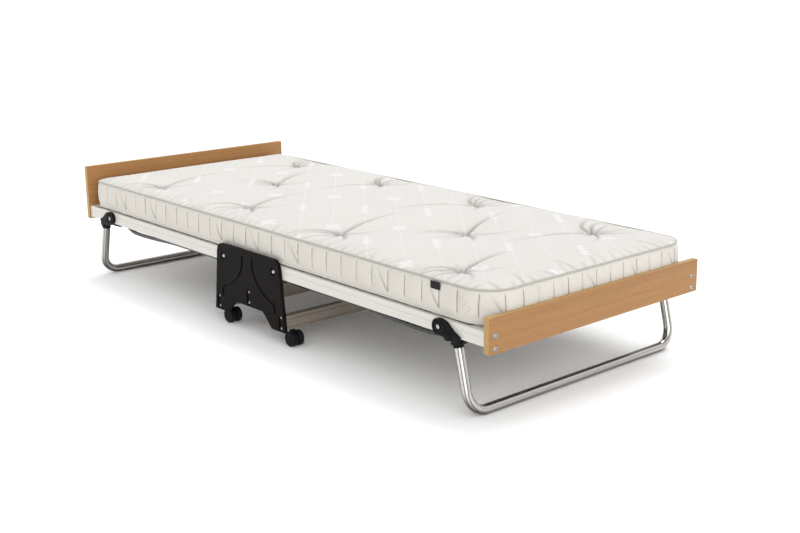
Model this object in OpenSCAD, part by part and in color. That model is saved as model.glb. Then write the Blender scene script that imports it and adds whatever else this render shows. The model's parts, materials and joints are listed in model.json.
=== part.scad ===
// Rollaway bed: a two-part folding frame on a castor carriage, with a leg that
// swings flat as each half is raised, a mattress and two wooden end boards.
// Origin: on the floor under the middle of the carriage. +X foot end, +Z up.

/* [Bed] */
// Width over the wooden end boards
board_w = 800; // [760:5:860]
// Distance from the middle to the outer face of each end board
board_x = 980; // [950:5:1010]
// Thickness of the end boards
board_t = 16; // [12:1:20]
// Height of the foot board
foot_board_h = 90; // [70:5:120]
// Height of the head board
head_board_h = 180; // [140:5:260]
// Underside of the foot board above the floor
foot_board_z = 179; // [160:1:190]
// Underside of the head board above the floor
head_board_z = 187; // [170:1:200]

/* [Frame rails] */
// Height of a side rail
rail_h = 37; // [34:1:40]
// Thickness of a side rail
rail_t = 20; // [18:1:22]
// Wall of the side rail tube
rail_wall = 1.6; // [1.2:0.2:2.4]
// Outer face of the side rails from the middle
rail_y = 395; // [390:1:395]

/* [Fold] */
// Height of the fold and leg pivots
pivot_z = 213; // [208:1:216]
// Fold pivots from the middle
fold_x = 126; // [124:1:130]
// Leg pivots from the middle
leg_x = 812; // [800:1:820]
// Radius of the pivot rivets
pivot_r = 5; // [4:0.5:5]
// Running clearance round a pivot
running_gap = 0.05; // [0.03:0.01:0.1]

/* [Carriage] */
// Outer face of the side plates from the middle
plate_y = 406; // [404:1:408]
// Top edge of the side plates
plate_top = 250; // [246:1:252]
// Bottom edge of the side plates
plate_bottom = 45; // [44:1:48]
// Half width of the plates at the top
plate_top_w = 153; // [150:1:160]
// Half width of the plates at the bottom
plate_bottom_w = 176; // [173:1:180]
// Cross rails from the middle
crossrail_x = 156; // [150:1:156]

/* [Castors] */
// Radius of the castor wheels
wheel_r = 22; // [20:1:22]
// Width of one castor wheel
wheel_w = 15; // [12:1:16]
// Swivel axis to wheel axle
castor_trail = 13; // [10:1:14]
// Castor swivel axes from the middle, across the bed
castor_y = 368; // [360:1:370]

/* [Legs] */
// Radius of the leg tube
leg_r = 12.5; // [11:0.5:12.5]
// Floor bar of each leg from the middle
leg_floor_x = 908; // [900:1:915]
// Bend radius of the leg tube
leg_bend = 55; // [45:5:70]

/* [Mattress] */
// Top face of the mattress
mattress_top = 330; // [300:1:334]
// Half width of the mattress
mattress_w = 385; // [370:1:388]
// Radius of the foot corners of the mattress in plan
mattress_corner = 85; // [60:5:110]
// Radius of the head corners of the mattress in plan
mattress_head_corner = 40; // [30:5:60]
// Head end of the mattress from the middle
mattress_head_x = 945; // [900:1:950]

/* [Hidden] */
$fn = 48;
eps = 0.01;
HALVES = ["head", "foot"];
PLACES = ["head_near", "head_far", "foot_near", "foot_far"];

// Rails
rail_bottom = pivot_z - 18;
rail_top = rail_bottom + rail_h;
rail_inner_y = rail_y - rail_t;
rail_start = fold_x - 14;
end_plate_t = 3;
board_inner_x = board_x - board_t;
rail_end = board_inner_x - end_plate_t;

// Side plates
plate_in = rail_y + 0.6;
plate_t = plate_y - plate_in;
arch_top = 86;
arch_top_w = 76;
arch_foot_w = 113;
side_z = 70;
centre_z = 112.5;
screw_pitch = 16.25;
screw_seat = plate_y - 3.5;
recess_r = 11;
slot_w = 17;

// Links between the carriage and the leg brackets
link_a = [-14.5, -29.5];
link_b = [-7.6, -24.9];
anchor_x = fold_x + link_a[0];
anchor_z = pivot_z + link_a[1];
pin_x = leg_x + link_b[0];
pin_z = pivot_z + link_b[1];
link_r = 4.5;
link_y = 355;
link_pin_r = 3.5;
anchor_pin_r = 4;
open_gap = 0.6;
eye_r = 6.6;
eye_w = 9.6;

// Castors
stem_r = 4;
web_half = 4;
wheel_gap = 0.5;
crossrail_w = 22;
crossrail_h = 41;

// Legs
socket_r = 13.3;
socket_len = 15;
leg_wall = 1.6;
plug_len = 20;
leg_head = [leg_floor_x - 42, pivot_z - 27];
leg_foot = [leg_floor_x, leg_r];
leg_len = norm(leg_foot - leg_head);
leg_lean = atan2(leg_foot[0] - leg_head[0], leg_head[1] - leg_foot[1]);
leg_y = 390;

// Deck and mattress
strap_z = rail_top + 0.4;
strap_t = 1.8;
strap_w = 50;
strap_xs = [215, 300, 385, 470, 555, 640, 725, 880];
mattress_z = strap_z + strap_t + 0.4;
mattress_split = fold_x + 4;

// a smooth curve through points, n steps to each stretch
function smooth(p, n) = let (last = len(p) - 1) concat([for (i = [0 : last - 1]) for (k = [0 : n - 1])
    let (t = k / n, a = p[max(i - 1, 0)], b = p[i], c = p[i + 1], d = p[min(i + 2, last)])
        b + t / 2 * (c - a + t * (2 * a - 5 * b + 4 * c - d + t * (3 * b - a - 3 * c + d)))], [p[last]]);
function heading(p, i) = (p[i + 1] - p[i]) / norm(p[i + 1] - p[i]);
// mitred offset of a path's point i, to the left of the way it runs
function beside(p, i) = let (
    a = heading(p, min(max(i - 1, 0), len(p) - 2)), b = heading(p, min(i, len(p) - 2)),
    m = [-a[1] - b[1], a[0] + b[0]]) 2 * m / (m * m);
// outline of a strip of half width w along a path
function ribbon(p, w) = concat(
    [for (i = [0 : len(p) - 1]) p[i] - w * beside(p, i)],
    [for (i = [len(p) - 1 : -1 : 0]) p[i] + w * beside(p, i)]);

module facing(half) { if (half == "foot") children(); else mirror([1, 0, 0]) children(); }
module both_sides() { children(); mirror([0, 1, 0]) children(); }
module far_side(where) { if (where == "far") children(); else mirror([0, 1, 0]) children(); }

// a round bar along Y from y0 to y1
module cross_pin(x, z, r, y0, y1) {
    translate([x, y0, z]) rotate([-90, 0, 0]) cylinder(r = r, h = y1 - y0);
}
// a flat domed rivet head standing on the plane y0, outwards along Y
module rivet_head(x, z, r, y0, h) {
    sphere_r = (r * r + h * h) / (2 * h);
    translate([x, y0, z]) rotate([-90, 0, 0]) intersection() {
        cylinder(r = r, h = h + 1);
        translate([0, 0, h - sphere_r]) sphere(r = sphere_r, $fn = 96);
    }
}
// a rectangle with round corners, centred in X, standing on Y = 0
module round_rect(w, h, r) {
    translate([-w / 2 + r, 0]) square([w - 2 * r, h]);
    translate([-w / 2, r]) square([w, h - 2 * r]);
    for (x = [-w / 2 + r, w / 2 - r]) for (y = [r, h - r]) translate([x, y]) circle(r = r);
}
// stands a drawing made in X and Z upright between y0 and y1
module upright(y0, y1) {
    translate([0, y1, 0]) rotate([90, 0, 0]) linear_extrude(height = y1 - y0) children();
}

// ---- carriage ----
module plate_outline() {
    corner = 24;
    lean = atan2(plate_bottom_w - plate_top_w, plate_top - plate_bottom);
    top_in = plate_top_w - corner * tan(45 - lean / 2) - 2;
    difference() {
        union() {
            polygon([
                [-plate_bottom_w, plate_bottom], [plate_bottom_w, plate_bottom],
                [plate_top_w + corner * sin(lean), plate_top - corner],
                [top_in, plate_top], [-top_in, plate_top],
                [-plate_top_w - corner * sin(lean), plate_top - corner]
            ]);
            for (s = [-1, 1]) translate([s * (plate_top_w - corner + 1.6), plate_top - corner])
                circle(r = corner, $fn = 64);
        }
        polygon([
            [-arch_foot_w, plate_bottom - 1], [-arch_top_w - 8, arch_top - 12],
            [-arch_top_w + 6, arch_top], [arch_top_w - 6, arch_top],
            [arch_top_w + 8, arch_top - 12], [arch_foot_w, plate_bottom - 1]
        ]);
    }
}
// curved groove from near the top middle out to the lower corner
module plate_groove() {
    groove_half = 4.2;
    polygon(ribbon(smooth([
        [26, 227], [25, 207], [36, 180], [57, 155], [90, 133], [122, 121], [131, 108], [131, 94]
    ], 4), groove_half));
    for (end = [[26, 227], [131, 94]]) translate(end) circle(r = groove_half - 0.1);
}
module side_plate() {
    recess = plate_y - screw_seat;
    color("#2b2622") difference() {
        union() {
            upright(plate_in, plate_y) plate_outline();
            for (s = [-1, 1]) cross_pin(s * anchor_x, anchor_z, 6.8, 361, plate_in + 1);
        }
        // shallow grooves and round seats on the outer face
        for (m = [0, 1]) mirror([m, 0, 0]) {
            upright(plate_y - 3, plate_y + 1) plate_groove();
            cross_pin(fold_x, pivot_z, recess_r, plate_y - recess, plate_y + 1);
            cross_pin(fold_x, pivot_z, pivot_r, 360, plate_y + 1);
            cross_pin(anchor_x, anchor_z, anchor_pin_r, 360, 376);
            // ribbed pockets on the inner face
            for (pocket = [[14, 146, 62, 66], [14, 218, 84, 14], [82, 100, 44, 36]])
                translate([pocket[0], plate_in - 1, pocket[1]])
                    cube([pocket[2], plate_t - 3.2, pocket[3]]);
        }
        for (place = [[-crossrail_x, side_z], [0, centre_z], [crossrail_x, side_z]]) {
            translate([place[0], 0, place[1]]) {
                for (dz = [-screw_pitch, screw_pitch]) translate([0, 0, dz])
                    cross_pin(0, 0, 2.4, 380, plate_y + 1);
                upright(plate_y - recess, plate_y + 1)
                    translate([0, -screw_pitch - 7]) round_rect(slot_w, 2 * screw_pitch + 14, 6.9);
            }
        }
    }
}
module plate_near() { mirror([0, 1, 0]) side_plate(); }
module plate_far() { side_plate(); }

module crossrail_profile() {
    wall = 3;
    groove = 2;
    difference() {
        translate([-crossrail_w / 2, -crossrail_h / 2]) square([crossrail_w, crossrail_h]);
        square([crossrail_w - 2 * wall, 22], center = true);
        for (z = [-screw_pitch, screw_pitch]) translate([0, z]) circle(r = 2.4);
        for (s = [-1, 1]) for (z = [-13, 11])
            translate([s * crossrail_w / 2, z]) square([2 * groove, 2.2], center = true);
    }
}
module crossrail(x, z, castors) {
    color("#8d857a") difference() {
        translate([x, 0, z]) upright(-plate_in, plate_in) crossrail_profile();
        if (castors) for (s = [-1, 1]) translate([x, s * castor_y, z - crossrail_h])
            cylinder(r = stem_r + running_gap, h = crossrail_h);
    }
}
module crossrail_head() { crossrail(-crossrail_x, side_z, true); }
module crossrail_centre() { crossrail(0, centre_z, false); }
module crossrail_foot() { crossrail(crossrail_x, side_z, true); }

module plate_screws() {
    seat = screw_seat;
    color("#c9ccd0") both_sides()
        for (place = [[-crossrail_x, side_z], [0, centre_z], [crossrail_x, side_z]])
            for (dz = [-screw_pitch, screw_pitch]) difference() {
                union() {
                    cross_pin(place[0], place[1] + dz, 2.4, 384, seat + eps);
                    rivet_head(place[0], place[1] + dz, 5, seat, 2.4);
                }
                translate([place[0], seat + 3, place[1] + dz]) for (turn = [0, 90])
                    rotate([0, turn, 0]) cube([5, 3.4, 1.1], center = true);
            }
}
module fold_pins() {
    color("#b9bcc0") both_sides() for (s = [-1, 1]) {
        cross_pin(s * fold_x, pivot_z, pivot_r, rail_inner_y - 3, screw_seat + eps);
        rivet_head(s * fold_x, pivot_z, 6.2, screw_seat, 3.6);
        cross_pin(s * fold_x, pivot_z, 9, rail_inner_y - 4, rail_inner_y - 0.4);
    }
}
module anchor_pins() {
    color("#b9bcc0") both_sides() for (s = [-1, 1]) {
        cross_pin(s * anchor_x, anchor_z, anchor_pin_r, 349, 376);
        cross_pin(s * anchor_x, anchor_z, eye_r - 0.5, 347, 349.4);
    }
}

// ---- one half of the frame, drawn for the foot half ----
module rail_profile() {
    difference() {
        translate([rail_inner_y, rail_bottom]) square([rail_t, rail_h]);
        translate([rail_inner_y + rail_wall, rail_bottom + rail_wall])
            square([rail_t - 2 * rail_wall, rail_h - 2 * rail_wall]);
        // fine groove along the outer face
        translate([rail_y - 0.7, rail_top - 16]) square([1, 1.6]);
    }
}
module rail(half, where) {
    color("#ece6d8") facing(half) far_side(where) difference() {
        translate([rail_start, 0, 0]) rotate([90, 0, 90])
            linear_extrude(height = rail_end - rail_start) rail_profile();
        for (x = [fold_x, leg_x])
            cross_pin(x, pivot_z, pivot_r + running_gap, rail_inner_y - 1, rail_y + 1);
    }
}
module crossbar(half) {
    bar_h = 33;
    wall = 1.5;
    bar_y = rail_inner_y;
    color("#ece6d8") facing(half) translate([rail_end - 30, bar_y, rail_bottom + 2])
        rotate([90, 0, 0]) linear_extrude(height = 2 * bar_y) difference() {
            square([20, bar_h]);
            translate([wall, wall]) square([20 - 2 * wall, bar_h - 2 * wall]);
        }
}
module board(half, z, h) {
    color("#c98a4e") facing(half) difference() {
        translate([board_inner_x, 0, z]) rotate([90, 0, 90])
            linear_extrude(height = board_t) round_rect(board_w, h, 4);
        for (y = [-377.5, 377.5]) for (dz = [192, 223.7])
            translate([board_inner_x - 1, y, dz]) rotate([0, 90, 0]) cylinder(r = 3, h = board_t + 2);
    }
}
module board_screws(half) {
    color("#c9ccd0") facing(half) for (y = [-377.5, 377.5]) for (z = [192, 223.7])
        translate([0, y, z]) rotate([0, 90, 0]) {
            translate([0, 0, rail_end + 0.2]) cylinder(r = 3, h = board_x - rail_end);
            difference() {
                translate([0, 0, board_x]) cylinder(r1 = 7, r2 = 5.2, h = 2.4);
                translate([0, 0, board_x + 0.7]) cylinder(r = 2.5, h = 3, $fn = 6);
            }
        }
}
module end_plates(half) {
    color("#ece6d8") facing(half) both_sides() difference() {
        translate([rail_end, 352, 189.5]) cube([end_plate_t, rail_y - 352, rail_top - 189.5]);
        for (z = [192, 223.7]) translate([rail_end - 1, 377.5, z]) rotate([0, 90, 0])
            cylinder(r = 3, h = end_plate_t + 2);
    }
}
module deck_straps(half) {
    reach = rail_inner_y + 1.4;
    color("#3a3a3a") facing(half) for (x = strap_xs)
        translate([x - strap_w / 2, -reach, strap_z]) cube([strap_w, 2 * reach, strap_t]);
}
module strap_clips(half) {
    color("#9b9ea2") facing(half) both_sides() for (x = strap_xs)
        translate([x - strap_w / 2 + 3, rail_inner_y + 1.6, rail_top])
            cube([strap_w - 6, 10, strap_t + 0.4]);
}
module leg_pins(half) {
    color("#b9bcc0") facing(half) both_sides() {
        cross_pin(leg_x, pivot_z, pivot_r, 363, 406.6);
        rivet_head(leg_x, pivot_z, 5.8, 406.4, 1.9);
        cross_pin(leg_x, pivot_z, 8, 362, 364.6);
    }
}

// ---- leg, drawn for the foot half ----
module leg_tube(half) {
    straight_y = leg_y - leg_bend;
    drop = leg_len - leg_bend;
    color("#b8bbbf") facing(half) translate([leg_head[0], 0, leg_head[1]])
        rotate([0, -leg_lean, 0]) both_sides() difference() {
            leg_run(leg_r, straight_y, drop, 0);
            leg_run(leg_r - leg_wall, straight_y, drop, 1);
        }
}
// one half of the bent tube: down the upright, round the bend, to the middle
module leg_run(r, straight_y, drop, over) {
    translate([0, leg_y, -drop]) cylinder(r = r, h = drop - socket_len + over);
    translate([0, straight_y, -drop]) rotate([0, 90, 0])
        rotate_extrude(angle = 90, $fn = 64) translate([leg_bend, 0]) circle(r = r);
    translate([0, -over, -drop - leg_bend]) rotate([-90, 0, 0])
        cylinder(r = r, h = straight_y + over);
}
module cheek_outline() {
    circle(r = 21);
    polygon([
        [4, 20.6], [9, 21], [26, 15.6], [47, -1.6], [72, -14], [60, -27], [46, -26.5],
        [27, -29.5], [17, -22], [2, -20.9]
    ]);
}
module inner_cheek_outline() {
    circle(r = 18);
    translate(link_b) circle(r = 6.5);
    polygon([
        [-16, -12], [-15.8, -24], [-9, -32.8], [20, -34], [46, -34], [60, -27], [66, -22],
        [40, -19.5], [17, -4]
    ]);
}
module bracket(half, where) {
    color("#1d1d1f") facing(half) far_side(where) difference() {
        union() {
            translate([leg_x, 0, pivot_z]) {
                upright(rail_y + 0.6, 405) cheek_outline();
                upright(365, rail_inner_y - 0.6) inner_cheek_outline();
            }
            // collar on the top of the leg tube and the plug inside it
            translate([leg_head[0], leg_y, leg_head[1]]) rotate([0, -leg_lean, 0]) {
                translate([0, 0, -socket_len]) cylinder(r = socket_r, h = socket_len);
                translate([0, 0, -eps]) cylinder(r1 = socket_r, r2 = socket_r - 2, h = 2);
                translate([0, 0, -socket_len - plug_len])
                    cylinder(r = leg_r - leg_wall, h = plug_len + 1);
            }
            // web under the rail that joins the two cheeks to the socket
            translate([leg_x, 0, pivot_z]) upright(365, 405)
                polygon([[44, -33], [48, -24], [66, -20], [66, -30], [58, -38]]);
            // raised ribs on the outer cheek
            translate([leg_x, 0, pivot_z]) {
                for (turn = [60 : 30 : 240]) rotate([0, -turn, 0])
                    translate([8, 404.9, -1]) cube([12, 1.5, 2]);
                difference() {
                    cross_pin(0, 0, 21, 404.9, 406.4);
                    cross_pin(0, 0, 18.4, 404, 407);
                }
                cross_pin(0, 0, 9, 404.9, 406.4);
                for (dz = [0, -7, -14]) translate([22, 404.9, 4 + dz]) rotate([0, 26, 0])
                    cube([32 + dz / 2, 1.5, 1.8]);
            }
        }
        cross_pin(leg_x, pivot_z, pivot_r + running_gap, 360, 410);
        cross_pin(pin_x, pin_z, link_pin_r, 360, 375);
    }
}
module link_pins(half) {
    color("#b9bcc0") facing(half) both_sides() {
        cross_pin(pin_x, pin_z, link_pin_r, 349, 373);
        cross_pin(pin_x, pin_z, eye_r - 1, 347, 349.4);
    }
}

// ---- link bar, drawn for the foot half ----
// the bar dips below the rail near the leg, then runs almost level to the carriage
link_route = [
    [anchor_x, anchor_z], [190, 177.5], [330, 177.5], [480, 177], [580, 171.5], [650, 168.7],
    [720, 168], [752, 171], [776, 179], [pin_x, pin_z]
];
module link(half, where) {
    last = len(link_route) - 1;
    color("#18181a") facing(half) far_side(where) difference() {
        union() {
            upright(link_y - link_r + 0.5, link_y + link_r - 0.5)
                polygon(ribbon(smooth(link_route, 3), link_r));
            for (end = [link_route[0], link_route[last]])
                cross_pin(end[0], end[1], eye_r, link_y - eye_w / 2, link_y + eye_w / 2);
        }
        cross_pin(anchor_x, anchor_z, anchor_pin_r + running_gap, 340, 370);
        cross_pin(pin_x, pin_z, link_pin_r + open_gap, 340, 370);
    }
}

// ---- castors ----
function castor_spot(place) = [
    (place == "head_near" || place == "head_far" ? -1 : 1) * crossrail_x,
    (place == "head_near" || place == "foot_near" ? -1 : 1) * castor_y
];
// places a castor drawn with its swivel axis at X = 0 and its wheels towards +X
module at_castor(place) {
    spot = castor_spot(place);
    translate([spot[0], spot[1], 0]) mirror([0, spot[1] < 0 ? 1 : 0, 0]) children();
}
module castor_housing(place) {
    top = side_z - crossrail_h / 2 - 0.5;
    cap_z = 2 * wheel_r + 0.8;
    color("#1b1c1e") at_castor(place) difference() {
        union() {
            // web between the wheels
            cross_pin(castor_trail, wheel_r, wheel_r - 3, -web_half, web_half);
            translate([-5, -web_half, wheel_r])
                cube([castor_trail + 5, 2 * web_half, cap_z - wheel_r + eps]);
            // swivel cap and stem
            translate([0, 0, cap_z]) cylinder(r = 10, h = top - cap_z);
            translate([0, 0, top - eps]) cylinder(r = stem_r, h = 30);
        }
        cross_pin(castor_trail, wheel_r, 3, -web_half - 1, web_half + 1);
    }
}
module castor_axle(place) {
    reach = web_half + wheel_gap + wheel_w - 2;
    color("#c9ccd0") at_castor(place) cross_pin(castor_trail, wheel_r, 3, -reach, reach);
}
module castor_wheel(place, s) {
    inner = web_half + wheel_gap;
    color("#2a2c2f") at_castor(place) mirror([0, s < 0 ? 1 : 0, 0])
        translate([castor_trail, inner, wheel_r]) rotate([-90, 0, 0]) difference() {
            rotate_extrude($fn = 64) polygon([
                [3 + running_gap, 0], [wheel_r - 1.5, 0], [wheel_r, 1.5],
                [wheel_r, wheel_w - 2.5], [wheel_r - 2.5, wheel_w],
                [wheel_r - 5.5, wheel_w], [wheel_r - 6.5, wheel_w - 1.6],
                [8, wheel_w - 1.6], [7, wheel_w], [0, wheel_w], [0, wheel_w - 1.8],
                [3 + running_gap, wheel_w - 1.8]
            ]);
        }
}

// ---- mattress ----
// plan of the outer part of the mattress, with round corners at the outer end
module mattress_plan(inner, outer, r) {
    translate([inner, -mattress_w]) square([outer - r - inner, 2 * mattress_w]);
    translate([outer - r - 1, -mattress_w + r]) square([r + 1, 2 * (mattress_w - r)]);
    for (s = [-1, 1]) translate([outer - r, s * (mattress_w - r)]) circle(r = r, $fn = 96);
}
module mattress(half, outer) {
    color("#efe8da") facing(half) translate([0, 0, mattress_z])
        linear_extrude(height = mattress_top - mattress_z) mattress_plan(mattress_split, outer,
            half == "foot" ? mattress_corner : mattress_head_corner);
}
module mattress_fold() {
    gap = 0.5;
    color("#efe8da")
        translate([-mattress_split + gap, -mattress_w, mattress_z])
            cube([2 * (mattress_split - gap), 2 * mattress_w, mattress_top - mattress_z]);
}

plate_near();
plate_far();
crossrail_head();
crossrail_centre();
crossrail_foot();
plate_screws();
fold_pins();
anchor_pins();
for (h = HALVES) {
    rail(h, "near");
    rail(h, "far");
    crossbar(h);
    board(h, h == "foot" ? foot_board_z : head_board_z, h == "foot" ? foot_board_h : head_board_h);
    board_screws(h);
    end_plates(h);
    deck_straps(h);
    strap_clips(h);
    leg_pins(h);
    mattress(h, h == "foot" ? board_inner_x - 1 : mattress_head_x);
    leg_tube(h);
    bracket(h, "near");
    bracket(h, "far");
    link_pins(h);
    link(h, "near");
    link(h, "far");
}
mattress_fold();
for (c = PLACES) {
    castor_housing(c);
    castor_axle(c);
    castor_wheel(c, 1);
    castor_wheel(c, -1);
}
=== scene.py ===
import json
import math

import bpy
import numpy as np
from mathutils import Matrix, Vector


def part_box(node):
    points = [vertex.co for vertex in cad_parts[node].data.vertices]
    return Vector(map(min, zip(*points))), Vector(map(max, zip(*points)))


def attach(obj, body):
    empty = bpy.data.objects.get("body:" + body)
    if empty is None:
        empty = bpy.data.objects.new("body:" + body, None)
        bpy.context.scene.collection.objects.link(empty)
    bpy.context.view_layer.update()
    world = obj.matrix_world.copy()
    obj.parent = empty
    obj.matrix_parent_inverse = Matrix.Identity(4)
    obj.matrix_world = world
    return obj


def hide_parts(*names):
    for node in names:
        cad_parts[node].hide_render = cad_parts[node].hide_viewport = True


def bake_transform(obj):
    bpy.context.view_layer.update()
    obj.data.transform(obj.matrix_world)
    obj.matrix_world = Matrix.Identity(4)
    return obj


# Looks of the rollaway bed. Metres, row frame: +X foot end, -Y near side, +Z up.

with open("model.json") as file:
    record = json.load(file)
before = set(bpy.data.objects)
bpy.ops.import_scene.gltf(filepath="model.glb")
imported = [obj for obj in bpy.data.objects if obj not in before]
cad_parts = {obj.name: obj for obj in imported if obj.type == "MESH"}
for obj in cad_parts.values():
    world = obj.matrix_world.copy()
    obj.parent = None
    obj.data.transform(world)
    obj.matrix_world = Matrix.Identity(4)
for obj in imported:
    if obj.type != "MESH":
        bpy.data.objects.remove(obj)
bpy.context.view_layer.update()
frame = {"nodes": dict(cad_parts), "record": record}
NODES = frame["nodes"]

# ---------------------------------------------------------------- sizes from the frame
head_lo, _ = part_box("head_mattress")
foot_lo, foot_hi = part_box("foot_mattress")

HEAD_END = head_lo.x
FOOT_END = foot_hi.x
HALF_W = foot_hi.y
BOTTOM = foot_lo.z + 0.0006
PIPE_Z = foot_hi.z - 0.012        # height of the piping round the top panel
ROUND, TIGHT = 0.085, 0.040       # plan corner radii at the foot and at the head
CROWN = 0.0155                    # rise of the top panel above the piping
STEP = 0.0030                     # spacing of the mesh points
SEAM, SEAM_START = 0.0635, 0.414  # pitch of the border pleats and where one lies
PLEAT_LOW, PLEAT_HIGH = 0.249, 0.314
END_PLEATS = 1.2                  # how much closer the pleats stand along the ends
HOLLOW, HOLLOW_END, HOLLOW_RAMP = 0.016, 0.31, 0.06
RNG = np.random.RandomState(7)

# tufts of the top panel, (x, y)
TUFTS = [(-0.685, -0.275), (-0.205, -0.255), (0.252, -0.260), (0.772, -0.286),
         (-0.465, 0.025), (0.496, -0.011),
         (-0.690, 0.272), (-0.219, 0.270), (0.238, 0.274), (0.731, 0.252)]
# creases that run out of every tuft: points from the tuft, half width, depth
CREASES = [
    ([(0, 0), (-0.028, 0.07), (-0.045, 0.14), (-0.052, 0.25)], 0.0046, 0.0100),
    ([(0, 0), (-0.052, 0.004), (-0.092, -0.035), (-0.100, -0.135)], 0.0046, 0.0100),
    ([(0, 0), (-0.036, -0.026), (-0.062, -0.070), (-0.056, -0.124)], 0.0040, 0.0080),
    ([(0, 0), (-0.012, -0.038), (-0.022, -0.078), (-0.018, -0.120)], 0.0036, 0.0062),
    ([(0, 0), (0.036, 0.026), (0.066, 0.060), (0.070, 0.130)], 0.0044, 0.0056),
    ([(0, 0), (0.050, -0.012), (0.088, -0.046), (0.100, -0.100)], 0.0046, 0.0056),
    ([(0, 0), (0.020, -0.040), (0.036, -0.072), (0.034, -0.110)], 0.0038, 0.0044),
]


# ---------------------------------------------------------------- mesh helpers
def make_mesh(name, verts, faces, uv=None):
    """A mesh object from arrays, smooth shaded, with one UV per vertex in metres."""
    mesh = bpy.data.meshes.new(name)
    mesh.from_pydata([tuple(v) for v in verts], [], [tuple(f) for f in faces])
    if uv is not None:
        layer = mesh.uv_layers.new(name="UVMap")
        loops = np.zeros(len(mesh.loops), np.int64)
        mesh.loops.foreach_get("vertex_index", loops)
        layer.data.foreach_set("uv", np.asarray(uv, np.float32)[loops].ravel())
    mesh.shade_smooth()
    mesh.update()
    obj = bpy.data.objects.new(name, mesh)
    bpy.context.scene.collection.objects.link(obj)
    return obj


def set_mark(mesh, values):
    """Stores how much painted fold shade each vertex gets, for the cloth's colour."""
    layer = mesh.attributes.new("fold", "FLOAT", "POINT")
    layer.data.foreach_set("value", np.asarray(values, np.float32))


def grid_faces(rows, cols, start=0, closed=False):
    """Quads of a grid of rows x cols vertices; closed joins the last row to the first."""
    faces = []
    for i in range(rows if closed else rows - 1):
        a, b = start + i * cols, start + ((i + 1) % rows) * cols
        faces += [(a + j, b + j, b + j + 1, a + j + 1) for j in range(cols - 1)]
    return faces


def halves(obj):
    """Cuts a piece at x = 0 into its head and foot halves and keeps its normals."""
    mesh = obj.data
    normals = np.zeros(len(mesh.vertices) * 3, np.float32)
    mesh.vertex_normals.foreach_get("vector", normals)
    normals = normals.reshape(-1, 3)
    co = np.zeros(len(mesh.vertices) * 3, np.float32)
    mesh.vertices.foreach_get("co", co)
    co = co.reshape(-1, 3)
    uv = np.zeros((len(mesh.vertices), 2), np.float32)
    if mesh.uv_layers:
        loops = np.zeros(len(mesh.loops), np.int64)
        mesh.loops.foreach_get("vertex_index", loops)
        data = np.zeros(len(mesh.loops) * 2, np.float32)
        mesh.uv_layers[0].data.foreach_get("uv", data)
        uv[loops] = data.reshape(-1, 2)
    mark = np.zeros(len(mesh.vertices), np.float32)
    if "fold" in mesh.attributes:
        mesh.attributes["fold"].data.foreach_get("value", mark)
    material = mesh.materials[0] if mesh.materials else None
    polys = [tuple(p.vertices) for p in mesh.polygons]
    middle = np.array([co[list(p), 0].mean() for p in polys])
    made = []
    for half, keep in (("head", middle < 0), ("foot", middle >= 0)):
        picked = [p for p, k in zip(polys, keep) if k]
        used = sorted({v for p in picked for v in p})
        index = {v: i for i, v in enumerate(used)}
        piece = make_mesh(f"{obj.name}_{half}", co[used],
                          [[index[v] for v in p] for p in picked], uv[used])
        piece.data.normals_split_custom_set_from_vertices([tuple(n) for n in normals[used]])
        set_mark(piece.data, mark[used])
        if material:
            piece.data.materials.append(material)
        made.append(piece)
    bpy.data.objects.remove(obj)
    return made


def over_the_fold(head, foot):
    """Bakes the placement of both halves of a piece into their meshes."""
    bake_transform(head)
    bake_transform(foot)


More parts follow.
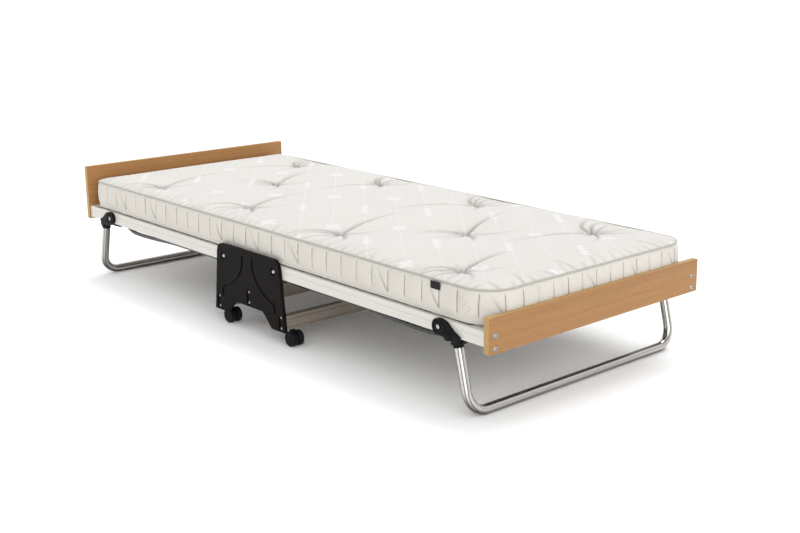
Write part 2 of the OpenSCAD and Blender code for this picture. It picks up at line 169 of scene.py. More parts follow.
# ---------------------------------------------------------------- materials
class Nodes:
    """Small helper that builds a material's node tree."""

    def __init__(self, name):
        self.mat = bpy.data.materials.new(name)
        self.mat.use_nodes = True
        self.tree = self.mat.node_tree
        self.tree.nodes.clear()
        self.bsdf = self.add("ShaderNodeBsdfPrincipled")
        out = self.add("ShaderNodeOutputMaterial")
        self.link(self.bsdf.outputs[0], out.inputs["Surface"])

    def add(self, kind, **props):
        node = self.tree.nodes.new(kind)
        for key, value in props.items():
            setattr(node, key, value)
        return node

    def link(self, a, b):
        self.tree.links.new(a, b)

    def put(self, value, socket):
        if isinstance(value, bpy.types.NodeSocket):
            self.link(value, socket)
        else:
            socket.default_value = value

    def math(self, op, a, b=0.0, c=None, clamp=False):
        node = self.add("ShaderNodeMath", operation=op, use_clamp=clamp)
        self.put(a, node.inputs[0])
        self.put(b, node.inputs[1])
        if c is not None:
            self.put(c, node.inputs[2])
        return node.outputs[0]

    def coords(self, kind="Object", scale=(1, 1, 1)):
        source = self.add("ShaderNodeTexCoord").outputs[kind]
        mapping = self.add("ShaderNodeMapping")
        mapping.inputs["Scale"].default_value = scale
        self.link(source, mapping.inputs["Vector"])
        return mapping.outputs[0]

    def split(self, vector):
        node = self.add("ShaderNodeSeparateXYZ")
        self.link(vector, node.inputs[0])
        return node.outputs

    def noise(self, vector, scale, detail=4.0, rough=0.55):
        node = self.add("ShaderNodeTexNoise")
        self.link(vector, node.inputs["Vector"])
        node.inputs["Scale"].default_value = scale
        node.inputs["Detail"].default_value = detail
        node.inputs["Roughness"].default_value = rough
        return node.outputs["Fac"]

    def span(self, value, low, high, to_low=0.0, to_high=1.0, smooth=False):
        node = self.add("ShaderNodeMapRange")
        if smooth:
            node.interpolation_type = "SMOOTHSTEP"
        self.put(value, node.inputs["Value"])
        for socket, number in zip(("From Min", "From Max", "To Min", "To Max"),
                                  (low, high, to_low, to_high)):
            self.put(number, node.inputs[socket])
        return node.outputs[0]

    def mix(self, factor, a, b, blend="MIX"):
        node = self.add("ShaderNodeMix", data_type="RGBA", blend_type=blend)
        self.put(factor, node.inputs[0])
        self.put(a, node.inputs[6])
        self.put(b, node.inputs[7])
        return node.outputs[2]

    def bump(self, height, distance, strength=1.0, after=None):
        node = self.add("ShaderNodeBump")
        node.inputs["Strength"].default_value = strength
        node.inputs["Distance"].default_value = distance
        self.link(height, node.inputs["Height"])
        if after is not None:
            self.link(after, node.inputs["Normal"])
        return node.outputs[0]

    def finish(self, color, roughness, normal=None, metallic=0.0, **sockets):
        self.put(color, self.bsdf.inputs["Base Color"])
        self.put(roughness, self.bsdf.inputs["Roughness"])
        self.bsdf.inputs["Metallic"].default_value = metallic
        if normal is not None:
            self.link(normal, self.bsdf.inputs["Normal"])
        for key, value in sockets.items():
            self.bsdf.inputs[key.replace("_", " ")].default_value = value
        return self.mat


def rgb(r, g, b):
    return (r, g, b, 1.0)


def plastic(name, dark, light, rough, grain=900, shine=0.1):
    m = Nodes(name)
    place = m.coords()
    fine = m.noise(place, grain, 3)
    broad = m.noise(place, 18, 4)
    color = m.mix(m.span(broad, 0.3, 0.7), rgb(*dark), rgb(*light))
    normal = m.bump(fine, 0.00006)
    return m.finish(color, m.span(broad, 0.3, 0.7, rough - 0.05, rough + 0.06), normal,
                    Specular_IOR_Level=shine)


def painted(name, color, rough):
    m = Nodes(name)
    place = m.coords()
    peel = m.noise(place, 260, 2)
    broad = m.noise(place, 7, 3)
    warm = tuple(c * 0.965 for c in color)
    tint = m.mix(m.span(broad, 0.3, 0.7), rgb(*color), rgb(*warm))
    return m.finish(tint, m.span(broad, 0.3, 0.7, rough - 0.03, rough + 0.05),
                    m.bump(peel, 0.00004), Coat_Weight=0.15, Coat_Roughness=0.2)


def brushed(name, color, dark, rough, scale, metallic=1.0):
    """Metal with fine drawing lines along the axis whose scale is smallest."""
    m = Nodes(name)
    lines = m.noise(m.coords(scale=scale), 60, 5, 0.65)
    broad = m.noise(m.coords(), 9, 3)
    tint = m.mix(m.span(lines, 0.35, 0.65), rgb(*dark), rgb(*color))
    glow = m.span(broad, 0.3, 0.7, rough - 0.05, rough + 0.07)
    return m.finish(tint, glow, m.bump(lines, 0.00003), metallic=metallic)


def polished(name, color, rough):
    m = Nodes(name)
    place = m.coords()
    haze = m.noise(place, 35, 5, 0.7)
    tint = m.mix(m.span(haze, 0.35, 0.7), rgb(*color), rgb(*(c * 0.93 for c in color)))
    return m.finish(tint, m.span(haze, 0.3, 0.75, rough, rough + 0.07),
                    m.bump(m.noise(place, 500, 2), 0.00001), metallic=1.0)


def tube_chrome(name, color, dark, rough):
    """Chromed tube with dark reflections painted along its top, underside and flanks, placed by the
    surface normal to suit one viewing direction.
    """
    m = Nodes(name)
    haze = m.noise(m.coords(), 35, 5, 0.7)
    nx, ny, nz = m.split(m.add("ShaderNodeTexCoord").outputs["Normal"])
    flank = m.math("ABSOLUTE", m.math("ADD", m.math("MULTIPLY", nx, 0.67), m.math("MULTIPLY", ny, 0.74)))
    # painted reflections: dark where the normal turns across the view, faces down or faces straight up,
    # and in a thin band between
    painted_darkening = m.math("MAXIMUM", m.span(flank, 0.74, 0.94), m.span(nz, -0.05, -0.50))
    painted_darkening = m.math("MAXIMUM", painted_darkening, m.span(nz, 0.93, 0.985))
    painted_darkening = m.math("MAXIMUM", painted_darkening, band(m, m.math("SUBTRACT", flank, 0.30), 0.03, 0.10))
    tint = m.mix(m.span(haze, 0.35, 0.7), rgb(*color), rgb(*(c * 0.93 for c in color)))
    tint = m.mix(m.math("MULTIPLY", painted_darkening, 0.95, clamp=True), tint, rgb(*dark))
    return m.finish(tint, m.span(haze, 0.3, 0.75, rough, rough + 0.07), metallic=1.0)


def beech():
    """Varnished beech veneer, straight grain across the bed, with a paler edge band."""
    m = Nodes("beech")
    drift = m.noise(m.coords(scale=(1, 0.5, 3)), 2.2, 2)
    strips = m.noise(m.coords(scale=(30, 0.35, 34)), 1.3, 4, 0.6)
    grain = m.noise(m.coords(scale=(110, 1.3, 150)), 2.4, 6, 0.65)
    flecks = m.noise(m.coords(scale=(260, 14, 420)), 1.8, 2, 0.5)
    base = m.mix(m.span(strips, 0.32, 0.68), rgb(0.279, 0.136, 0.043), rgb(0.356, 0.180, 0.061))
    base = m.mix(m.span(drift, 0.35, 0.65, 0, 0.35), base, rgb(0.368, 0.175, 0.056))
    base = m.mix(m.span(grain, 0.34, 0.60, 0.45, 0), base, rgb(0.221, 0.095, 0.028))
    base = m.mix(m.span(flecks, 0.60, 0.70, 0, 0.5), base, rgb(0.166, 0.072, 0.024))
    # the band runs along the top, the bottom and both ends of a board
    normal = m.split(m.add("ShaderNodeTexCoord").outputs["Normal"])
    edge = m.math("SUBTRACT", 1.0, m.span(m.math("ABSOLUTE", normal[0]), 0.3, 0.75), clamp=True)
    band_wood = m.mix(m.span(grain, 0.3, 0.7), rgb(0.344, 0.203, 0.065), rgb(0.405, 0.253, 0.094))
    base = m.mix(edge, base, band_wood)
    return m.finish(base, m.span(grain, 0.3, 0.7, 0.40, 0.50), m.bump(grain, 0.00004),
                    Coat_Weight=0.15, Coat_Roughness=0.30, Specular_IOR_Level=0.3)


def weave(m, vector, pitch):
    """Height of a plain weave with the given thread pitch, from 0 to 1."""
    u, v, _ = m.split(vector)
    warp = m.math("SINE", m.math("MULTIPLY", u, 2 * math.pi / pitch))
    weft = m.math("SINE", m.math("MULTIPLY", v, 2 * math.pi / pitch))
    return m.math("MULTIPLY_ADD", m.math("MULTIPLY", warp, weft), 0.5, 0.5)


def band(m, value, half, soft):
    """1 where value is within half of zero, fading out over soft."""
    return m.span(m.math("ABSOLUTE", value), half, half + soft, 1, 0, smooth=True)


def wrap(m, value, period):
    """value folded into -period/2 .. period/2."""
    shifted = m.math("FLOORED_MODULO", m.math("ADD", value, period / 2), period)
    return m.math("SUBTRACT", shifted, period / 2)


def cloth_finish(m, color, height, depth, extra=None):
    fuzz = m.noise(m.coords("UV"), 420, 4, 0.7)
    normal = m.bump(fuzz, 0.00025, 0.5)
    normal = m.bump(height, depth, 0.7, normal)
    if extra is not None:
        normal = m.bump(extra, 0.0006, 0.6, normal)
    return m.finish(color, 0.85, normal, Sheen_Weight=0.25, Sheen_Roughness=0.45)


def paint_fold_shade(m, color, share):
    """Paints shade into the cloth where it is tucked into a fold, mixing in a dark grey by the stored
    fold shade.
    """
    fold = m.add("ShaderNodeAttribute", attribute_name="fold").outputs["Fac"]
    return m.mix(m.math("MULTIPLY", fold, share, clamp=True), color, rgb(0.138, 0.132, 0.120))


def ticking_top():
    """Ivory damask with white motifs on slanting rows of fine stitches."""
    m = Nodes("ticking_top")
    uv = m.coords("UV")
    u, v, _ = m.split(uv)
    slope = math.atan(0.79)
    c, s = math.cos(slope), math.sin(slope)
    along = m.math("SUBTRACT", m.math("MULTIPLY", u, c), m.math("MULTIPLY", v, s))
    across = m.math("ADD", m.math("MULTIPLY", u, s), m.math("MULTIPLY", v, c))
    gap, rise = 0.0926, 0.382
    marks = []
    for start, shift, first in ((0.1146, 0.345, True), (0.1146 - gap, 0.104, False)):
        row = m.math("SUBTRACT", across, start)
        n = wrap(m, row, 2 * gap)
        count = m.math("ROUND", m.math("DIVIDE", row, 2 * gap))
        begin = m.math("ADD", shift, m.math("MULTIPLY", count, 0.055))
        t = wrap(m, m.math("SUBTRACT", along, begin), rise)
        stitches = m.math("MULTIPLY", band(m, n, 0.0007, 0.0006),
                          m.span(m.math("SINE", m.math("MULTIPLY", along, 900)), -0.5, 0.1))
        marks.append(stitches)
        if first:
            angle = m.math("ARCTAN2", n, t)
            petals = m.math("ABSOLUTE", m.math("SINE", m.math("MULTIPLY", angle, 2)))
            reach = m.math("MULTIPLY_ADD", petals, 0.024, 0.006)
            size = m.math("SQRT", m.math("ADD", m.math("MULTIPLY", n, n), m.math("MULTIPLY", t, t)))
            petal = m.span(m.math("SUBTRACT", reach, size), 0.0, 0.0012)
            veins = m.span(m.math("SINE", m.math("MULTIPLY", size, 1500)), -0.9, 0.2)
            marks.append(m.math("MULTIPLY", petal, veins))
        else:
            leaf = m.math("ABSOLUTE", m.math("SINE", m.math("MULTIPLY", t, math.pi / 0.026)))
            reach = m.math("MULTIPLY_ADD", leaf, 0.0125, 0.001)
            slant = m.math("SUBTRACT", m.math("ABSOLUTE", n), reach)
            mask = m.math("MULTIPLY", m.span(slant, -0.0012, 0.0, 1, 0), band(m, t, 0.050, 0.002))
            slanted = m.math("SUBTRACT", t, m.math("ABSOLUTE", n))
            veins = m.span(m.math("SINE", m.math("MULTIPLY", slanted, 1300)), -0.9, 0.1)
            marks.append(m.math("MULTIPLY", mask, veins))
    mark = marks[0]
    for other in marks[1:]:
        mark = m.math("MAXIMUM", mark, other)
    broad = m.noise(uv, 5, 3)
    ground = m.mix(m.span(broad, 0.3, 0.7), rgb(0.506, 0.490, 0.465), rgb(0.526, 0.510, 0.484))
    damask = m.noise(m.coords("UV", (1, 1, 1)), 60, 5, 0.7)
    ground = m.mix(m.span(damask, 0.45, 0.62, 0, 0.35), ground, rgb(0.547, 0.535, 0.505))
    color = m.mix(m.math("MULTIPLY", mark, 0.9), ground, rgb(0.663, 0.661, 0.644))
    # painted shade in the folds of the top panel
    color = paint_fold_shade(m, color, 0.80)
    return cloth_finish(m, color, weave(m, uv, 0.0011), 0.00012, extra=mark)


def ticking_border():
    """Ivory border cloth with vertical pleat seams, painted shade along each seam and in its creases,
    and a faint grey sprig now and then.
    """
    m = Nodes("ticking_border")
    uv = m.coords("UV")
    s, z, _ = m.split(uv)
    seam = wrap(m, m.math("SUBTRACT", s, SEAM_START), SEAM)
    lean = m.math("MULTIPLY", m.math("SUBTRACT", m.noise(uv, 14, 1), 0.5), 0.006)
    tall = m.math("MULTIPLY", m.span(z, 0.250, 0.258), m.span(z, 0.306, 0.312, 1, 0))
    line = m.math("MULTIPLY", band(m, m.math("ADD", seam, lean), 0.0006, 0.0015), tall)
    sprig_s = wrap(m, m.math("SUBTRACT", s, 0.55), 0.3355)
    lean_s = m.math("ADD", sprig_s, m.math("MULTIPLY", m.math("SUBTRACT", z, 0.28), 0.75))
    leaf = m.math("ABSOLUTE", m.math("SINE", m.math("MULTIPLY", z, math.pi / 0.014)))
    reach = m.math("MULTIPLY_ADD", leaf, 0.010, 0.001)
    ring = band(m, m.math("SUBTRACT", m.math("ABSOLUTE", lean_s), reach), 0.0004, 0.0009)
    within = m.math("MULTIPLY", m.span(z, 0.253, 0.258), m.span(z, 0.298, 0.304, 1, 0))
    sprig = m.math("MULTIPLY", ring, within)
    broad = m.noise(uv, 9, 3)
    ground = m.mix(m.span(broad, 0.3, 0.7), rgb(0.528, 0.503, 0.458), rgb(0.559, 0.534, 0.488))
    color = m.mix(m.math("MULTIPLY", sprig, 0.7), ground, rgb(0.293, 0.274, 0.235))
    # painted shade: a thin dark line along each pleat seam, where the cloth dips in
    color = m.mix(m.math("MULTIPLY", line, 0.85), color, rgb(0.168, 0.158, 0.135))
    # painted shade in the border creases
    color = paint_fold_shade(m, color, 0.45)
    return cloth_finish(m, color, weave(m, uv, 0.0012), 0.00012)


def tape(name, color):
    m = Nodes(name)
    uv = m.coords("UV")
    twill = m.math("SINE", m.math("MULTIPLY", m.math("ADD", *m.split(uv)[:2]), 2600))
    broad = m.noise(uv, 30, 3)
    tint = m.mix(m.span(broad, 0.3, 0.7), rgb(*color), rgb(*(c * 0.9 for c in color)))
    return cloth_finish(m, tint, m.span(twill, -1, 1), 0.00025)


def webbing():
    m = Nodes("webbing")
    place = m.coords()
    x, y, _ = m.split(place)
    ribs = m.math("SINE", m.math("MULTIPLY", y, 2 * math.pi / 0.003))
    edge = m.math("SINE", m.math("MULTIPLY", x, 2 * math.pi / 0.0045))
    tint = m.mix(m.span(edge, -1, 1), rgb(0.035, 0.035, 0.036), rgb(0.075, 0.074, 0.07))
    return m.finish(tint, 0.85, m.bump(ribs, 0.0004, 0.7), Sheen_Weight=0.2)


def floor_material():
    m = Nodes("studio_floor")
    soft = m.noise(m.coords(), 1.5, 2)
    color = m.mix(m.span(soft, 0.3, 0.7), rgb(0.955, 0.955, 0.955), rgb(0.965, 0.965, 0.965))
    return m.finish(color, 0.75)


MATERIALS = {
    "black_plastic": plastic("black_plastic", (0.0048, 0.0040, 0.0037), (0.0072, 0.0060, 0.0055),
                             0.50, shine=0.05),
    "ribbed_plastic": plastic("ribbed_plastic", (0.0045, 0.0045, 0.0048), (0.0080, 0.0078, 0.0080),
                              0.40, shine=0.08),
    "castor_plastic": plastic("castor_plastic", (0.0040, 0.0040, 0.0045), (0.0070, 0.0070, 0.0075),
                              0.34, shine=0.08),
    "castor_tread": plastic("castor_tread", (0.0060, 0.0064, 0.0072), (0.0100, 0.0105, 0.0115),
                            0.46, 500, shine=0.08),
    "bronze_aluminium": brushed("bronze_aluminium", (0.37, 0.32, 0.275), (0.28, 0.24, 0.205),
                                0.42, (30, 0.6, 30), 0.75),
    "rivet_steel": brushed("rivet_steel", (0.50, 0.50, 0.49), (0.38, 0.38, 0.37), 0.26, (8, 8, 8)),
    "bright_screws": polished("bright_screws", (0.34, 0.34, 0.34), 0.20),
    # the second colour is the dark of the chrome's painted reflections
    "bright_chrome": tube_chrome("bright_chrome", (0.56, 0.545, 0.52), (0.085, 0.075, 0.064), 0.12),
    "cream_paint": painted("cream_paint", (0.57, 0.552, 0.512), 0.36),
    "black_paint": painted("black_paint", (0.006, 0.006, 0.0065), 0.30),
    "beech": beech(),
    "webbing": webbing(),
}
TOP = ticking_top()
BORDER = ticking_border()
PIPING = tape("piping_tape", (0.37, 0.355, 0.315))
PIPING_LOW = tape("piping_low", (0.54, 0.52, 0.475))

BEVELS = {
    "black_plastic": 0.0018, "ribbed_plastic": 0.0008, "castor_plastic": 0.0008,
    "castor_tread": 0.0008, "cream_paint": 0.0016, "beech": 0.0012,
    "bronze_aluminium": 0.0005, "black_paint": 0.0032, "webbing": 0.0004,
}


def dress_cad_nodes():
    """Gives every CAD node but the ticking ones its slot's material, and the nodes of the slots in
    BEVELS a fine rounding of their edges.
    """
    slots = {s["node"]: s["material_slot"] for s in frame["record"]["subparts"]}
    for name, obj in NODES.items():
        slot = slots[name]
        if slot == "ticking":
            continue
        obj.data.materials.clear()
        obj.data.materials.append(MATERIALS[slot])
        if slot in BEVELS:
            weld = obj.modifiers.new("weld", "WELD")
            weld.merge_threshold = 0.00002
            bevel = obj.modifiers.new("bevel", "BEVEL")
            bevel.width = BEVELS[slot]
            bevel.segments = 3 if slot == "black_paint" else 2
            bevel.limit_method = "ANGLE"
            bevel.angle_limit = math.radians(40)
            bevel.harden_normals = True


# ---------------------------------------------------------------- mattress
def edge_of(x, side):
    """Y of the mattress outline at x on the near (-1) or far (1) side."""
    inset = np.zeros_like(x)
    for r, over in ((ROUND, x - (FOOT_END - ROUND)), (TIGHT, HEAD_END + TIGHT - x)):
        over = np.clip(over, 0, r)
        inset = np.maximum(inset, r - np.sqrt(np.maximum(r ** 2 - over ** 2, 0)))
    return side * (HALF_W - inset)


def edge_distance(x, y):
    """Distance from a point of the plan to the mattress outline, inwards."""
    middle = (FOOT_END + HEAD_END) / 2
    r = np.where(x > middle, ROUND, TIGHT)
    qx = np.abs(x - middle) - ((FOOT_END - HEAD_END) / 2 - r)
    qy = np.abs(y) - (HALF_W - r)
    outside = np.hypot(np.maximum(qx, 0), np.maximum(qy, 0))
    return r - outside - np.minimum(np.maximum(qx, qy), 0)


def curve_points(points, n):
    """n points along a cubic through four control points."""
    p = np.array(points, float)
    t = np.linspace(0, 1, n)[:, None]
    return (p[0] * (1 - t) ** 3 + 3 * p[1] * t * (1 - t) ** 2
            + 3 * p[2] * t ** 2 * (1 - t) + p[3] * t ** 3)


def add_crease(height, mark, x, y, points, width, depth, start=0.35):
    """Presses a valley with soft shoulders into height along a curve that fades out.

    mark collects how much painted shade each point gets from the fold, for the cloth's colour.
    """
    n = 40
    line = curve_points(points, n)
    near = ((x > line[:, 0].min() - 0.03) & (x < line[:, 0].max() + 0.03)
            & (y > line[:, 1].min() - 0.03) & (y < line[:, 1].max() + 0.03))
    px, py = x[near], y[near]
    best = np.full(len(px), 1e9)
    where = np.zeros(len(px))
    for i in range(n - 1):
        (ax, ay), (bx, by) = line[i], line[i + 1]
        dx, dy = bx - ax, by - ay
        t = np.clip(((px - ax) * dx + (py - ay) * dy) / max(dx * dx + dy * dy, 1e-12), 0, 1)
        d = (px - ax - t * dx) ** 2 + (py - ay - t * dy) ** 2
        closer = d < best
        best[closer] = d[closer]
        where[closer] = (i + t[closer]) / (n - 1)
    d = np.sqrt(best)
    fade = np.clip((1 - where) / 0.75, 0, 1) ** 0.8 * np.clip(where / 0.08, start, 1)
    w = width * (0.75 + 0.5 * where)
    valley = -np.exp(-(d / w) ** 2) + 0.16 * np.exp(-((d - 2.6 * w) / (1.9 * w)) ** 2)
    height[near] += depth * fade * valley
    # painted shade: a narrow dark line along the valley and a wider soft one, stronger for deeper
    # creases
    painted_darkening = 0.72 * np.exp(-(d / 0.0026) ** 2) + 0.28 * np.exp(-(d / (2.2 * width)) ** 2)
    painted_darkening *= fade * min((depth / 0.008) ** 0.7, 1.0)
    mark[near] = np.maximum(mark[near], painted_darkening)


def top_height(x, y):
    """Height of the top panel above the piping line, and the painted shade of its folds."""
    d = edge_distance(x, y)
    h = CROWN * (1 - np.exp(-np.maximum(d, 0) / 0.026))
    mark = np.zeros_like(h)
    h += 0.0022 * np.sin(x * 7.1 + 0.6) * np.sin(y * 8.3 + 1.1) * np.clip(d / 0.1, 0, 1)
    for tx, ty in TUFTS:
        r = np.hypot(x - tx, y - ty)
        h -= 0.0170 * np.exp(-(r / 0.085) ** 1.25) + 0.0080 * np.exp(-(r / 0.014) ** 2)
    for tx, ty in TUFTS:
        flip = 1 if ty < 0.15 else -1
        for points, width, depth in CREASES:
            turn = RNG.uniform(-0.16, 0.16)
            grow = RNG.uniform(0.85, 1.15)
            c, s = math.cos(turn) * grow, math.sin(turn) * grow
            moved = [(tx + c * px - s * py * flip, ty + s * px + c * py * flip) for px, py in points]
            add_crease(h, mark, x, y, moved, width, depth * RNG.uniform(0.7, 1.1))
        for k in range(11):
            a = 2 * math.pi * (k + RNG.uniform(-0.3, 0.3)) / 11
            r = RNG.uniform(0.035, 0.075)
            tip = (tx + r * math.cos(a), ty + r * math.sin(a))
            mid = (tx + 0.5 * r * math.cos(a + 0.15), ty + 0.5 * r * math.sin(a + 0.15))
            add_crease(h, mark, x, y, [(tx, ty), mid, mid, tip], 0.0032, 0.0046)
    # short pulls where the panel is gathered into the piping
    for x0 in np.arange(HEAD_END + 0.05, FOOT_END - 0.04, 0.031):
        for side in (-1, 1):
            edge = float(edge_of(np.array([x0]), side)[0])
            length = RNG.uniform(0.03, 0.085)
            lean = RNG.uniform(-0.035, 0.02)
            line = [(x0, edge), (x0 + lean * 0.4, edge - side * length * 0.4),
                    (x0 + lean * 0.8, edge - side * length * 0.7), (x0 + lean, edge - side * length)]
            add_crease(h, mark, x, y, line, 0.0038, RNG.uniform(0.0010, 0.0030), 1)
    for y0 in np.arange(-HALF_W + 0.05, HALF_W - 0.04, 0.037):
        for edge, side in ((FOOT_END, 1), (HEAD_END, -1)):
            length = RNG.uniform(0.03, 0.10)
            lean = RNG.uniform(-0.03, 0.03)
            line = [(edge, y0), (edge - side * length * 0.4, y0 + lean * 0.4),
                    (edge - side * length * 0.7, y0 + lean * 0.8), (edge - side * length, y0 + lean)]
            add_crease(h, mark, x, y, line, 0.0038, RNG.uniform(0.0008, 0.0026), 1)
    return h * np.clip(d / 0.004, 0, 1) ** 0.5, mark


def stations(end):
    """Steps from zero to an end of the mattress, finer round its corners."""
    bend = end - TIGHT
    return np.concatenate([np.linspace(0, bend, int(bend / STEP))[:-1],
                           bend + TIGHT * np.sin(np.linspace(0, math.pi / 2, 20))])


def rows_of_x():
    """Stations along the mattress, with one exactly at zero."""
    return np.concatenate([-stations(-HEAD_END)[:0:-1], stations(FOOT_END)])


def outline(cols):
    """The mattress outline in plan as a closed ring, near side first, towards the foot."""
    x = rows_of_x()
    t = np.linspace(0, 1, cols)[1:-1]
    near, far = np.stack([x, edge_of(x, -1)], 1), np.stack([x, edge_of(x, 1)], 1)
    foot = near[-1] + t[:, None] * (far[-1] - near[-1])
    head = far[0] + t[:, None] * (near[0] - far[0])
    return np.concatenate([near, foot, far[::-1], head])


def ring_normals(ring):
    """Outward unit vectors of a closed ring that runs anticlockwise."""
    d = np.roll(ring, -1, 0) - np.roll(ring, 1, 0)
    n = np.stack([d[:, 1], -d[:, 0]], 1)
    return n / np.maximum(np.linalg.norm(n, axis=1), 1e-9)[:, None]


def ring_lengths(ring, start):
    """Length along the ring to each point, counted so that it equals x on the near side."""
    d = np.linalg.norm(np.roll(ring, -1, 0) - ring, axis=1)
    # the pleats stand closer together along the ends
    d[np.abs(ring[:, 1]) < HALF_W - ROUND] *= END_PLEATS
    s = np.concatenate([[0], np.cumsum(d)[:-1]])
    return s - s[start] + ring[start, 0]


def mattress_top():
    x = rows_of_x()
    cols = int(2 * HALF_W / STEP) | 1
    t = np.linspace(0, 1, cols)[None, :]
    gx = np.repeat(x[:, None], cols, 1)
    gy = edge_of(x, -1)[:, None] * (1 - t) + edge_of(x, 1)[:, None] * t
    h, mark = top_height(gx, gy)
    verts = np.stack([gx, gy, PIPE_Z + 0.001 + h], 2).reshape(-1, 3)
    obj = make_mesh("mattress_top", verts, grid_faces(len(x), cols), verts[:, :2])
    obj.data.materials.append(TOP)
    set_mark(obj.data, mark.ravel())
    return obj


def border_shape(s, z):
    """How far the border stands out at length s along it and height z."""
    low, high = BOTTOM, PIPE_Z
    k = (z - low) / (high - low)
    out = 0.0045 * np.sin(np.pi * np.clip(k, 0, 1)) ** 0.7
    phase = (s - SEAM_START) / SEAM
    from_seam = np.abs(phase - np.round(phase)) * SEAM
    tall = np.clip((z - PLEAT_LOW) / 0.008, 0, 1) * np.clip((PLEAT_HIGH - z) / 0.006, 0, 1)
    puff = 0.0022 * (1 - np.exp(-from_seam / 0.009))
    dent = 0.0026 * np.exp(-(from_seam / 0.0022) ** 2)
    return out + tall * (puff - dent)


def border_creases(s, z):
    """Slanting creases that run down to the foot of every few seams, and their painted shade."""
    out, mark = np.zeros_like(s), np.zeros_like(s)
    for k in range(-60, 61):
        base = SEAM_START + k * SEAM
        if k % 3 == 0 and k % 4:
            lean = RNG.uniform(0.25, 0.5)
            line = [(base - SEAM * RNG.uniform(0.5, 0.95), 0.312), (base - SEAM * lean, 0.292),
                    (base - SEAM * 0.2, 0.272), (base - 0.001, 0.254)]
            add_crease(out, mark, s, z, line[::-1], 0.0013, RNG.uniform(0.0012, 0.0022), 1)
    return out, mark


def mattress_border():
    cols = int(2 * HALF_W / STEP) | 1
    ring = outline(cols)
    normals = ring_normals(ring)
    start = int(np.argmin(np.abs(ring[:, 0]) + (ring[:, 1] > 0) * 9))
    s = ring_lengths(ring, start)
    profile = [(-0.012, BOTTOM - 0.0001), (-0.005, BOTTOM), (-0.001, BOTTOM + 0.0012)]
    rows = [(0.0, z) for z in np.linspace(BOTTOM + 0.003, PIPE_Z - 0.002, 26)]
    profile += rows + [(-0.001, PIPE_Z), (-0.003, PIPE_Z + 0.0012)]
    inset = np.array([p[0] for p in profile])
    z = np.array([p[1] for p in profile])
    gs = np.repeat(s[:, None], len(z), 1)
    gz = np.repeat(z[None, :], len(s), 0)
    folds, mark = border_creases(gs, gz)
    out = border_shape(gs, gz) + folds
    out = np.where(inset[None, :] < 0, 0, out) + inset[None, :] - 0.002
    verts = np.stack([ring[:, 0, None] + normals[:, 0, None] * out,
                      ring[:, 1, None] + normals[:, 1, None] * out, gz], 2).reshape(-1, 3)
    uv = np.stack([gs, gz], 2).reshape(-1, 2)
    faces = grid_faces(len(s), len(z), closed=True)
    obj = make_mesh("mattress_border", verts, faces, uv)
    obj.data.materials.append(BORDER)
    # painted shade in the border creases, made four times stronger
    set_mark(obj.data, mark.ravel() * 4)
    return obj


def mattress_base():
    x = rows_of_x()[::6]
    x[-1] = FOOT_END
    x = np.unique(np.append(x, [0.0]))
    cols = 25
    t = np.linspace(1, 0, cols)[None, :]
    gx = np.repeat(np.clip(x, HEAD_END + 0.006, FOOT_END - 0.006)[:, None], cols, 1)
    gy = (edge_of(x, -1)[:, None] + 0.006) * (1 - t) + (edge_of(x, 1)[:, None] - 0.006) * t
    # hollow over the carriage, so that the link bars stay clear of it when the bed folds
    k = np.clip((HOLLOW_END - np.abs(gx)) / HOLLOW_RAMP, 0, 1)
    verts = np.stack([gx, gy, BOTTOM + HOLLOW * k * k * (3 - 2 * k)], 2).reshape(-1, 3)
    obj = make_mesh("mattress_base", verts, grid_faces(len(x), cols), verts[:, :2] + (0, 2))
    obj.data.materials.append(BORDER)
    return obj


def piping(name, z, radius, out, material, sag=0.0):
    """A corded edge that follows the mattress outline."""
    ring = outline(61)
    normals = ring_normals(ring)
    s = ring_lengths(ring, 0)
    sides = 12
    angle = np.linspace(0, 2 * math.pi, sides, endpoint=False)
    wave = sag * np.sin(s * 23) * np.sin(s * 7.3)
    r = radius * (1 + 0.05 * np.sin(s * 160))
    reach = out + r[:, None] * np.cos(angle)[None, :]
    verts = np.stack([ring[:, 0, None] + normals[:, 0, None] * reach,
                      ring[:, 1, None] + normals[:, 1, None] * reach,
                      z + wave[:, None] + r[:, None] * np.sin(angle)[None, :]], 2).reshape(-1, 3)
    uv = np.stack([np.repeat(s[:, None], sides, 1), np.repeat((angle * radius)[None, :], len(s), 0)], 2)
    faces = []
    for i in range(len(ring)):
        a, b = i * sides, ((i + 1) % len(ring)) * sides
        faces += [(a + j, b + j, b + (j + 1) % sides, a + (j + 1) % sides) for j in range(sides)]
    obj = make_mesh(name, verts, faces, uv.reshape(-1, 2))
    obj.data.materials.append(material)
    return obj


def mattress():
    for obj in (mattress_top(), mattress_border(), mattress_base(),
                piping("piping_top", PIPE_Z + 0.0012, 0.0032, -0.0026, PIPING, 0.0004),
                piping("piping_bottom", BOTTOM + 0.0034, 0.0030, -0.0006, PIPING_LOW)):
        head, foot = halves(obj)
        over_the_fold(head, foot)
        if head.name.startswith("mattress_top"):
            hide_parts("head_mattress")
            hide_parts("foot_mattress", "mattress_fold")


def tag():
    """Plain black tag sewn to the near side, without lettering."""
    w, h, t = 0.034, 0.019, 0.0008
    x0, z0, y0 = 0.769, 0.2985, -HALF_W - 0.0052
    verts, faces = [], []
    nx, nz = 9, 5
    for i in range(nx):
        for j in range(nz):
            u, v = i / (nx - 1), j / (nz - 1)
            verts.append((x0 + w * u, y0 - 0.0009 * math.sin(math.pi * u), z0 + h * v))
    faces = grid_faces(nx, nz)
    obj = make_mesh("mattress_tag", np.array(verts), faces, np.array([(v[0], v[2]) for v in verts]))
    solid = obj.modifiers.new("thick", "SOLIDIFY")
    solid.thickness = t
    m = Nodes("tag_cloth")
    uv = m.coords("UV")
    fibres = m.span(m.noise(uv, 900, 2), 0.3, 0.7)
    tint = m.mix(fibres, rgb(0.002, 0.002, 0.002), rgb(0.005, 0.005, 0.005))
    obj.data.materials.append(m.finish(tint, 0.9, m.bump(weave(m, uv, 0.0008), 0.0001)))
    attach(obj, "foot_half")


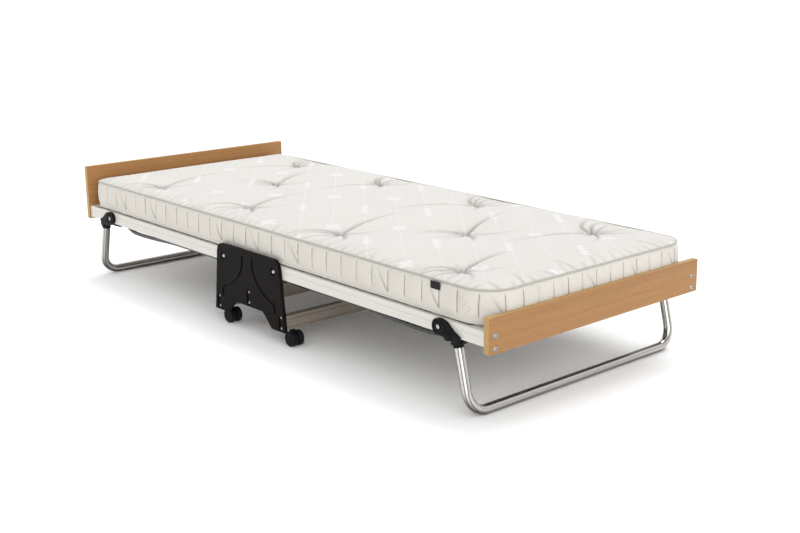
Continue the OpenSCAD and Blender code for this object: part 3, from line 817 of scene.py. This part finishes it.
# ---------------------------------------------------------------- studio
def sun(name, towards, strength, spread):
    """A soft far light that shines from the direction towards."""
    data = bpy.data.lights.new(name, "SUN")
    data.energy = strength
    data.angle = math.radians(spread)
    obj = bpy.data.objects.new(name, data)
    obj.rotation_euler = Vector(towards).to_track_quat("Z", "Y").to_euler()
    bpy.context.scene.collection.objects.link(obj)


def studio():
    corners = [(-30, -30, 0), (30, -30, 0), (30, 30, 0), (-30, 30, 0)]
    floor = make_mesh("studio_floor", np.array(corners, float), [(0, 1, 2, 3)])
    floor.location.z = -0.0004
    floor.data.materials.append(floor_material())
    world = bpy.data.worlds.new("studio")
    bpy.context.scene.world = world
    world.use_nodes = True
    tree = world.node_tree
    background = tree.nodes["Background"]
    place = tree.nodes.new("ShaderNodeTexCoord")
    axes = tree.nodes.new("ShaderNodeSeparateXYZ")
    ramp = tree.nodes.new("ShaderNodeMapRange")
    ramp.interpolation_type = "SMOOTHSTEP"
    for socket, number in (("From Min", 0.02), ("From Max", 0.70), ("To Min", 0.73), ("To Max", 1.04)):
        ramp.inputs[socket].default_value = number
    tree.links.new(place.outputs["Generated"], axes.inputs[0])
    tree.links.new(axes.outputs["Z"], ramp.inputs["Value"])
    tree.links.new(ramp.outputs[0], background.inputs["Strength"])
    background.inputs["Color"].default_value = (1, 1, 1, 1)
    sun("key_light", (-0.25, 0.50, 1.0), 1.3, 36)
    sun("side_light", (1.0, -0.50, 0.42), 1.5, 55)


def camera():
    yaw, pitch = math.radians(136.493), math.radians(-13.413)
    data = bpy.data.cameras.new("camera")
    data.sensor_width = 36
    data.lens = 55.089
    data.shift_x = -0.0813
    data.shift_y = -0.0408
    obj = bpy.data.objects.new("camera", data)
    obj.location = (2.8877, -2.2858, 1.1091)
    look = Vector((math.cos(pitch) * math.cos(yaw), math.cos(pitch) * math.sin(yaw), math.sin(pitch)))
    obj.rotation_euler = look.to_track_quat("-Z", "Y").to_euler()
    bpy.context.scene.collection.objects.link(obj)
    bpy.context.scene.camera = obj


bpy.context.scene.view_settings.view_transform = "Standard"
dress_cad_nodes()
mattress()
tag()
studio()
camera()
